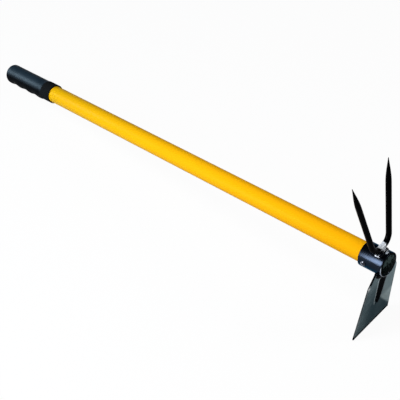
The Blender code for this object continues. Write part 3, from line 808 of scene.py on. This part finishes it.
def rod_along(path, radii, ups, sides, closed=False):
    """A round rod: a ring of points is extruded from place to place and turned to the path."""
    bm = bmesh.new()
    bmesh.ops.create_circle(bm, segments=sides, radius=1)
    ring = bm.verts[:]
    rim = first_rim = bm.edges[:]
    last = Matrix.Identity(4)
    count = len(path)
    for i, (place, radius, up) in enumerate(zip(path, radii, ups)):
        before = path[i - 1] if i or closed else path[0]
        after = path[(i + 1) % count] if i + 1 < count or closed else path[-1]
        along = (Vector(after) - Vector(before)).normalized()
        across = along.cross(Vector(up)).normalized()
        turn = Matrix((across.cross(along), across, along)).transposed().to_4x4()
        here = Matrix.Translation(place) @ turn @ Matrix.Scale(radius, 4)
        if i:
            grown = bmesh.ops.extrude_edge_only(bm, edges=rim)["geom"]
            ring = [part for part in grown if isinstance(part, bmesh.types.BMVert)]
            new = set(ring)
            rim = [
                part
                for part in grown
                if isinstance(part, bmesh.types.BMEdge) and new.issuperset(part.verts)
            ]
        bmesh.ops.transform(bm, matrix=here @ last.inverted(), verts=ring)
        last = here
    if closed:
        bmesh.ops.bridge_loops(bm, edges=rim + first_rim)
    else:
        bmesh.ops.holes_fill(bm, edges=rim + first_rim, sides=sides)
    return bm


def fork_bar(swollen=0):
    """The fork's rod, bent and stood over the socket. Swollen, it cuts its seat in the weld."""
    bend_top = FORK_BEND_RADIUS * (1 - math.sin(FORK_SPLAY))
    bend_middle = FORK_FOOT_STRAIGHT / 2
    bend_side = bend_middle + FORK_BEND_RADIUS * math.cos(FORK_SPLAY)
    leg = (FORK_REACH - bend_top) / math.cos(FORK_SPLAY)
    drops = [FORK_TAPER_LENGTH * i / FORK_TAPER_STEPS for i in range(FORK_TAPER_STEPS + 1)]
    drops += [
        FORK_TAPER_LENGTH + (leg - FORK_TAPER_LENGTH) * i / FORK_LEG_STEPS
        for i in range(1, FORK_LEG_STEPS)
    ]
    half = []
    for from_tip in drops:
        full = math.sin(math.pi / 2 * min(1, from_tip / FORK_TAPER_LENGTH)) ** FORK_TAPER_POWER
        radius = FORK_TIP_RADIUS + (FORK_ROD_RADIUS - FORK_TIP_RADIUS) * full
        up = leg - from_tip
        side = bend_side + up * math.sin(FORK_SPLAY)
        half.append(((0, side, bend_top + up * math.cos(FORK_SPLAY)), radius))
    for i in range(FORK_BEND_STEPS + 1):
        turn = (math.pi / 2 - FORK_SPLAY) * (1 - i / FORK_BEND_STEPS)
        side = bend_middle + FORK_BEND_RADIUS * math.sin(turn)
        half.append(((0, side, FORK_BEND_RADIUS * (1 - math.cos(turn))), FORK_ROD_RADIUS))
    half.append(((0, bend_middle / 2, 0), FORK_ROD_RADIUS))
    whole = half + [((x, -y, z), radius) for (x, y, z), radius in reversed(half)]
    path = [place for place, radius in whole]
    radii = [radius + swollen for place, radius in whole]
    bm = rod_along(path, radii, [(1, 0, 0)] * len(path), FORK_SIDES)
    foot = (-FORK_SET_BACK, 0, SOCKET_RADIUS + FORK_STANDS_OFF + FORK_ROD_RADIUS)
    stood = Matrix.Translation(foot) @ Matrix.Rotation(-FORK_LEAN, 4, "Y")
    bmesh.ops.transform(bm, matrix=stood, verts=bm.verts)
    return bm


def mark_painted_glints(bm, *places):
    """Note at each point how near it is to one of the places where a highlight is painted."""
    glint = bm.verts.layers.float.new("glint")
    for point in bm.verts:
        point[glint] = max(0, *(nearness(point.co, *place) for place in places))


fork_paint, shader, skin, tree = new_paint(
    "fork_paint", peel_size=620.0, drift_size=40.0, rub_amount=0.5
)
bare_glint = painted_glint_mask(tree)
metallic = worked_out(tree, "MULTIPLY", bare_glint, GLINT_STEEL_METALLIC)
colour = blended(tree, skin["Rubs"], FORK_COLOUR, FORK_RUBBED_COLOUR)
colour = blended(tree, bare_glint, colour, GLINT_STEEL_COLOUR)
tree.links.new(colour, shader.inputs["Base Color"])
tree.links.new(metallic, shader.inputs["Metallic"])
tree.links.new(varied(tree, bare_glint, least=0.28, most=0.50), shader.inputs["Roughness"])
tree.links.new(bumped(tree, skin["Height"], 0.00003), shader.inputs["Normal"])
shader.inputs["Specular IOR Level"].default_value = 0.03

bm = fork_bar()
mark_painted_glints(bm, FORK_GLINT)
add_piece("fork_rod", bm, fork_paint, "fork")

# Fork weld
# A bead that runs right round the foot of the fork and fills in under both bends. It is painted
# with the rest of the head, shows its ripples under the paint and has highlights painted on it
# like bare steel in spots.
FORK_WELD_RADIUS = 0.0028
FORK_WELD_OFFSET = 0.0031
FORK_WELD_STRAIGHT = 0.0076
FORK_WELD_LIFT = 0.0024
FORK_WELD_END_DROP = 0.0026
FORK_WELD_RIPPLE = 0.08
FORK_WELD_RIPPLES = 15
FORK_WELD_SIDE_STEPS, FORK_WELD_END_STEPS = 54, 30
FORK_WELD_SECTION_SIDES = 20
SOCKET_CORE = (0.02, -0.06)  # from before the socket to behind it
WELD_GLINTS = (  # middles and reaches of the highlights painted like bare steel
    ((-0.0078, 0.0004, 0.0208), (0.0026, 0.0032, 0.0016)),
    ((-0.0040, 0.0018, 0.0163), (0.0024, 0.0022, 0.0016)),
    ((-0.0076, -0.0089, 0.0152), (0.0012, 0.0012, 0.0012)),
    ((-0.0120, -0.0092, 0.0148), (0.0030, 0.0006, 0.0007)),
)


def cut_away(solid, cutter):
    """Take one closed shape away from another, where the two touch."""
    holders = []
    for shape in (solid, cutter):
        mesh = bpy.data.meshes.new("cut_shape")
        shape.to_mesh(mesh)
        shape.free()
        holders.append(bpy.data.objects.new("cut_shape", mesh))
        bpy.context.scene.collection.objects.link(holders[-1])
    cut = holders[0].modifiers.new("cut", "BOOLEAN")
    cut.operation = "DIFFERENCE"
    cut.object = holders[1]
    result = bmesh.new()
    result.from_object(holders[0], bpy.context.evaluated_depsgraph_get())
    for holder in holders:
        bpy.data.objects.remove(holder, do_unlink=True)
    return result


def fork_weld_line():
    """Places round the foot of the fork, with the bead's radius and the way out at each."""
    straight = FORK_WELD_STRAIGHT / 2
    line = []
    for side in (1, -1):
        for i in range(FORK_WELD_SIDE_STEPS):
            along = side * straight * (2 * i / FORK_WELD_SIDE_STEPS - 1)
            line.append((side * FORK_WELD_OFFSET, along))
        for i in range(FORK_WELD_END_STEPS):
            turn = math.pi * i / FORK_WELD_END_STEPS
            along = straight + FORK_WELD_OFFSET * math.sin(turn)
            line.append((side * FORK_WELD_OFFSET * math.cos(turn), side * along))
    for i, (forward, along) in enumerate(line):
        sideways = along / (straight + FORK_WELD_OFFSET)
        round_socket = along / SOCKET_RADIUS
        out = SOCKET_RADIUS + FORK_WELD_LIFT - FORK_WELD_END_DROP * sideways**2
        up = (0, math.sin(round_socket), math.cos(round_socket))
        wave = FORK_WELD_RIPPLES * i / len(line)
        ripple = FORK_WELD_RIPPLE * (0.5 - (2 * (wave % 1) - 1) ** RIPPLE_SHARPNESS)
        place = (forward - FORK_SET_BACK, out * up[1], out * up[2])
        yield place, FORK_WELD_RADIUS * (1 + ripple), up


places, radii, ups = zip(*fork_weld_line())
bm = rod_along(places, radii, ups, FORK_WELD_SECTION_SIDES, closed=True)
bmesh.ops.recalc_face_normals(bm, faces=bm.faces)
front, rear = SOCKET_CORE
inside_socket = SOCKET_RADIUS + FUSED_FIT
core = [(front, 0), (front, inside_socket), (rear, inside_socket), (rear, 0)]
bm = cut_away(bm, lathe_turned(core, ROUND_STEPS))
rod = fork_bar(swollen=FUSED_FIT)
bmesh.ops.recalc_face_normals(rod, faces=rod.faces)
bm = cut_away(bm, rod)
mark_painted_glints(bm, *WELD_GLINTS)
fork_weld_paint = new_weld_paint("fork_weld_paint", shine=0.3)
add_piece("fork_bead", bm, fork_weld_paint, "fork_weld")

# Handle
# A thin steel tube, cut to length and powder coated yellow all over before the head goes on. Its
# coat is glossy, with a fine orange peel and faint rubs along it, and more orange at the head.
TUBE_WALL = 0.0012
TUBE_FRONT = -0.0018
TUBE_REAR = -0.7134
TUBE_EDGE = 0.0003
YELLOW = (0.970, 0.515, 0.0035, 1)
YELLOW_ORANGE = (0.985, 0.445, 0.0030, 1)
YELLOW_LEMON = (0.960, 0.540, 0.0035, 1)
ORANGE_TOWARDS_HEAD = (-0.25, 0.36)  # where the colour turns more orange, from here to there along the table

powder_coat, shader, skin, tree = new_paint(
    "yellow_powder_coat", peel_size=700.0, drift_size=7.0, rub_amount=0.5
)
place = object_place(tree)
# More orange towards the head.
to_orange = ranged(tree, one_axis(tree, place, "X"), *ORANGE_TOWARDS_HEAD, to_low=0.0, to_high=0.88)
to_orange = raised(tree, to_orange, skin["Drift"], share=0.12)
thin = noise(tree, place, 11.0, detail=2.0, roughness=0.5)
thin = ranged(tree, thin, 0.5, 0.75, to_low=0.0, to_high=0.4)
colour = blended(tree, to_orange, YELLOW, YELLOW_ORANGE)
colour = blended(tree, thin, colour, YELLOW_LEMON)
tree.links.new(colour, shader.inputs["Base Color"])
tree.links.new(raised(tree, 0.36, skin["Rubs"], share=0.15), shader.inputs["Roughness"])
tree.links.new(bumped(tree, skin["Height"], 0.00003), shader.inputs["Normal"])
shader.inputs["Specular IOR Level"].default_value = 0.08
shader.inputs["Specular Tint"].default_value = (1.0, 0.75, 0.10, 1)

tube_bore = TUBE_RADIUS - TUBE_WALL
profile = [(TUBE_FRONT, tube_bore), (TUBE_FRONT, TUBE_RADIUS)]
profile += [(TUBE_REAR, TUBE_RADIUS), (TUBE_REAR, tube_bore), (TUBE_FRONT, tube_bore)]
bm = lathe_turned(profile, ROUND_STEPS)
break_edges(bm, TUBE_EDGE, segments=2)
add_piece("tube_handle", bm, powder_coat, "handle_tube")

# Rivet
# A steel pin through the socket and the handle, headed up on both sides so that each head sits
# down on the round of the socket. The heads are painted with the socket and rubbed bright.
RIVET_X = -0.0241
RIVET_SHANK_RADIUS = 0.0020
RIVET_HEAD_RADIUS = 0.0036
RIVET_HEAD_RISE = 0.0016
RIVET_HEAD_STEPS = 10
RIVET_SIDES = 40
RIVET_COLOUR = (0.020, 0.022, 0.030, 1)
RIVET_BRIGHT = (0.80, 0.84, 0.92, 1)


def headed_rivet():
    """Half the rivet, turned round its own axis and pressed on the socket, then mirrored."""
    base = SOCKET_RADIUS + FUSED_FIT
    outline = [(RIVET_SHANK_RADIUS, 0), (RIVET_SHANK_RADIUS, base), (RIVET_HEAD_RADIUS, base)]
    outline += [
        (RIVET_HEAD_RADIUS * math.cos(turn), base + RIVET_HEAD_RISE * math.sin(turn))
        for turn in quarter_turns(RIVET_HEAD_STEPS)[1:-1]
    ]
    outline += [(0, base + RIVET_HEAD_RISE)]
    bm = bmesh.new()
    points = [bm.verts.new((r, y, 0)) for r, y in outline]
    lines = [bm.edges.new(pair) for pair in zip(points, points[1:])]
    bmesh.ops.spin(
        bm,
        geom=points + lines,
        axis=(0, 1, 0),
        cent=(0, 0, 0),
        angle=math.tau,
        steps=RIVET_SIDES,
        use_merge=True,
        use_duplicate=False,
    )
    bmesh.ops.remove_doubles(bm, verts=bm.verts, dist=MERGE_DISTANCE)
    for point in bm.verts:
        if point.co.y > base - FUSED_FIT:
            point.co.y += math.sqrt(base**2 - point.co.z**2) - base
    geom = bm.verts[:] + bm.edges[:] + bm.faces[:]
    bmesh.ops.mirror(bm, geom=geom, axis="Y", merge_dist=MERGE_DISTANCE)
    bmesh.ops.remove_doubles(bm, verts=bm.verts, dist=MERGE_DISTANCE)
    bmesh.ops.translate(bm, verts=bm.verts, vec=(RIVET_X, 0, 0))
    return bm


rivet_steel, shader, skin, tree = new_paint(
    "rivet_steel", peel_size=900.0, drift_size=300.0, rub_amount=1.0
)
rubbed = ranged(tree, skin["Drift"], 0.55, 0.9)
tree.links.new(blended(tree, rubbed, RIVET_COLOUR, RIVET_BRIGHT), shader.inputs["Base Color"])
tree.links.new(rubbed, shader.inputs["Metallic"])
tree.links.new(varied(tree, skin["Rubs"], least=0.22, most=0.4), shader.inputs["Roughness"])
tree.links.new(bumped(tree, skin["Height"], 0.00003), shader.inputs["Normal"])
add_piece("cross_rivet", headed_rivet(), rivet_steel, "socket_rivet")

# End plug
# A moulded plastic cup pushed into the open end of the handle: a thin flange over the tube's
# end, a shallow dome in front, and a hollow stem that grips the bore. It is painted paler
# towards its top in blotches, as light falling there.
PLUG_STANDS_OUT = 0.0015
PLUG_DOME_RISE = 0.0020
PLUG_FLANGE = 0.0010
PLUG_RIM_RADIUS = 0.0124
PLUG_STEM_LENGTH = 0.010
PLUG_STEM_WALL = 0.0015
PLUG_DOME_STEPS = 16
PLUG_SIDES = 96
PLUG_LIT_HEIGHTS = (0.120, 0.134)  # the heights over the table at which the painted light on its top begins and is full
PLUG_COLOUR = (0.0010, 0.0040, 0.0036, 1)
PLUG_LIT_COLOUR = (0.080, 0.120, 0.114, 1)

plug_plastic, shader, skin, tree = new_paint(
    "plug_plastic", peel_size=1500.0, drift_size=90.0, rub_amount=0.4
)
place = object_place(tree)
# Painted light: paler towards the top, in blotches.
lit_top = ranged(tree, one_axis(tree, place, "Z"), *PLUG_LIT_HEIGHTS, to_low=-0.35, to_high=0.6)
blotches = ranged(tree, noise(tree, place, 330.0, detail=3.0, roughness=0.6), 0.35, 0.65)
lit_top = ranged(tree, worked_out(tree, "ADD", lit_top, blotches), 0.4, 1.3)
colour = blended(tree, lit_top, PLUG_COLOUR, PLUG_LIT_COLOUR)
tree.links.new(colour, shader.inputs["Base Color"])
tree.links.new(varied(tree, skin["Drift"], least=0.30, most=0.45), shader.inputs["Roughness"])
tree.links.new(bumped(tree, skin["Height"], 0.00004), shader.inputs["Normal"])
shader.inputs["Specular IOR Level"].default_value = 0.004

dome_foot = PLUG_STANDS_OUT - PLUG_DOME_RISE
back = dome_foot - PLUG_FLANGE
stem = tube_bore - SLIDING_FIT
profile = [(PLUG_STANDS_OUT, 0)]
profile += [
    (dome_foot + PLUG_DOME_RISE * math.sin(turn), PLUG_RIM_RADIUS * math.cos(turn))
    for turn in reversed(quarter_turns(PLUG_DOME_STEPS)[:-1])
]
profile += [(back, PLUG_RIM_RADIUS), (back, stem), (back - PLUG_STEM_LENGTH, stem)]
profile += [(back - PLUG_STEM_LENGTH, stem - PLUG_STEM_WALL), (back, stem - PLUG_STEM_WALL)]
profile += [(back, 0)]
add_piece("plug_cap", lathe_turned(profile, PLUG_SIDES), plug_plastic, "end_plug")

# Grip
# A soft vinyl sleeve, dipped or moulded in one, pushed over the end of the handle. Its closed
# body is satin, with finger recesses along the underside. The collar at its mouth is matt. Its
# upper side is painted a paler blue, as a sheen.
GRIP_MOUTH = -0.6107
GRIP_LENGTH = 0.1135
GRIP_WALL = 0.00085
GRIP_END_WALL = 0.0105
GRIP_DOME_HEIGHT = 0.0065
GRIP_BORE_CLEARANCE = 0.0003
COLLAR_LENGTH = 0.019
COLLAR_WALL = 0.0016
COLLAR_FADE = 0.007
COLLAR_LIP = 0.0005
COLLAR_LIP_STEPS = 4
COLLAR_BORDER = 0.0012  # over this length its matt finish goes over into the satin one
FINGER_SWELL = 0.0011
FINGER_RIDGE_HEIGHT = 0.00165
FINGER_RECESSES = 3
FIRST_RIDGE = 0.030
LAST_RIDGE_FROM_END = 0.0094
GRIP_SIDES = 96
GRIP_BODY_STEPS, GRIP_DOME_STEPS = 110, 14
GRIP_COLOUR = (0.0006, 0.0014, 0.0026, 1)
GRIP_SHEEN_COLOUR = (0.0120, 0.0270, 0.0410, 1)
COLLAR_COLOUR = (0.0100, 0.0110, 0.0115, 1)


def into_dome(along):
    """How far a place is into the grip's domed end, from nought to one at its tip."""
    return clamped((along - (GRIP_LENGTH - GRIP_DOME_HEIGHT)) / GRIP_DOME_HEIGHT)


def grip_radius(along):
    """The grip's radius on its upper side, at a distance from its mouth."""
    fade = eased(along, COLLAR_LENGTH, COLLAR_FADE)
    wall = COLLAR_WALL + (GRIP_WALL - COLLAR_WALL) * fade
    radius = TUBE_RADIUS + GRIP_BORE_CLEARANCE + wall
    return radius * math.sqrt(1 - into_dome(along) ** 2)


def finger_ridge(along):
    """How far the underside stands out below the round of the grip."""
    pitch = (GRIP_LENGTH - LAST_RIDGE_FROM_END - FIRST_RIDGE) / FINGER_RECESSES
    wave = (1 + math.cos(math.tau * (along - FIRST_RIDGE) / pitch)) / 2
    height = FINGER_SWELL + FINGER_RIDGE_HEIGHT * wave
    height *= eased(along, COLLAR_LENGTH, COLLAR_FADE)
    return height * math.sqrt(1 - into_dome(along) ** 2)


def moulded_sleeve():
    """The sleeve, turned first, whose underside is then drawn out into finger ridges."""
    bore = TUBE_RADIUS + SLIDING_FIT
    floor_x = GRIP_MOUTH - GRIP_LENGTH + GRIP_END_WALL
    profile = [(floor_x, 0), (floor_x, bore), (GRIP_MOUTH, bore)]
    profile += [
        (
            GRIP_MOUTH - COLLAR_LIP * (1 - math.sin(turn)),
            grip_radius(0) - COLLAR_LIP * (1 - math.cos(turn)),
        )
        for turn in reversed(quarter_turns(COLLAR_LIP_STEPS))
    ]
    body_end = GRIP_LENGTH - GRIP_DOME_HEIGHT
    stations = [COLLAR_LENGTH * i / 4 for i in range(1, 4)]
    stations += [
        COLLAR_LENGTH + (body_end - COLLAR_LENGTH) * i / GRIP_BODY_STEPS
        for i in range(GRIP_BODY_STEPS + 1)
    ]
    stations += [
        body_end + GRIP_DOME_HEIGHT * math.sin(turn)
        for turn in quarter_turns(GRIP_DOME_STEPS)[1:]
    ]
    profile += [(GRIP_MOUTH - along, grip_radius(along)) for along in stations]
    bm = lathe_turned(profile, GRIP_SIDES)
    outside = bore + GRIP_WALL / 2
    for point in bm.verts:
        radius = math.hypot(point.co.y, point.co.z)
        is_inside = radius < outside and point.co.x >= floor_x - MERGE_DISTANCE
        if radius < MERGE_DISTANCE or is_inside:
            continue
        underside = (1 - point.co.z / radius) / 2
        grown = 1 + finger_ridge(GRIP_MOUTH - point.co.x) * underside**2 / radius
        point.co.y *= grown
        point.co.z *= grown
    return bm


grip_vinyl, shader, skin, tree = new_paint(
    "grip_vinyl", peel_size=1300.0, drift_size=24.0, rub_amount=0.7
)
collar = mark_on(tree, "collar")
drifting = varied(tree, skin["Drift"], least=0.8, most=1.0)
# A painted sheen: paler blue, with a coat, on the upper side of the body.
painted_sheen = ranged(tree, mark_on(tree, "upper"), 0.27, 0.80)
painted_sheen = worked_out(tree, "MULTIPLY", painted_sheen, drifting)
colour = blended(tree, painted_sheen, GRIP_COLOUR, GRIP_SHEEN_COLOUR)
colour = blended(tree, collar, colour, COLLAR_COLOUR)
tree.links.new(colour, shader.inputs["Base Color"])
body = worked_out(tree, "SUBTRACT", 1.0, collar)
tree.links.new(worked_out(tree, "MULTIPLY", painted_sheen, body), shader.inputs["Coat Weight"])
shader.inputs["Coat Roughness"].default_value = 0.48
roughness = varied(tree, skin["Drift"], least=0.44, most=0.52)
roughness = raised(tree, roughness, collar, share=0.35)
tree.links.new(roughness, shader.inputs["Roughness"])
tree.links.new(bumped(tree, skin["Height"], 0.00008), shader.inputs["Normal"])
shader.inputs["Specular IOR Level"].default_value = 0.04

bm = moulded_sleeve()
collar = bm.verts.layers.float.new("collar")
upper = bm.verts.layers.float.new("upper")
for point in bm.verts:
    point[collar] = 1 - eased(GRIP_MOUTH - point.co.x, COLLAR_LENGTH, COLLAR_BORDER)
    point[upper] = point.co.z / max(TUBE_RADIUS, math.hypot(point.co.y, point.co.z))
add_piece("grip_sleeve", bm, grip_vinyl, "grip")

# The boxes of the model and of its looks, to set one against the other
boxes = {"model": cad_box, "looks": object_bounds()}
{name: [list(corner) for corner in box] for name, box in boxes.items()}
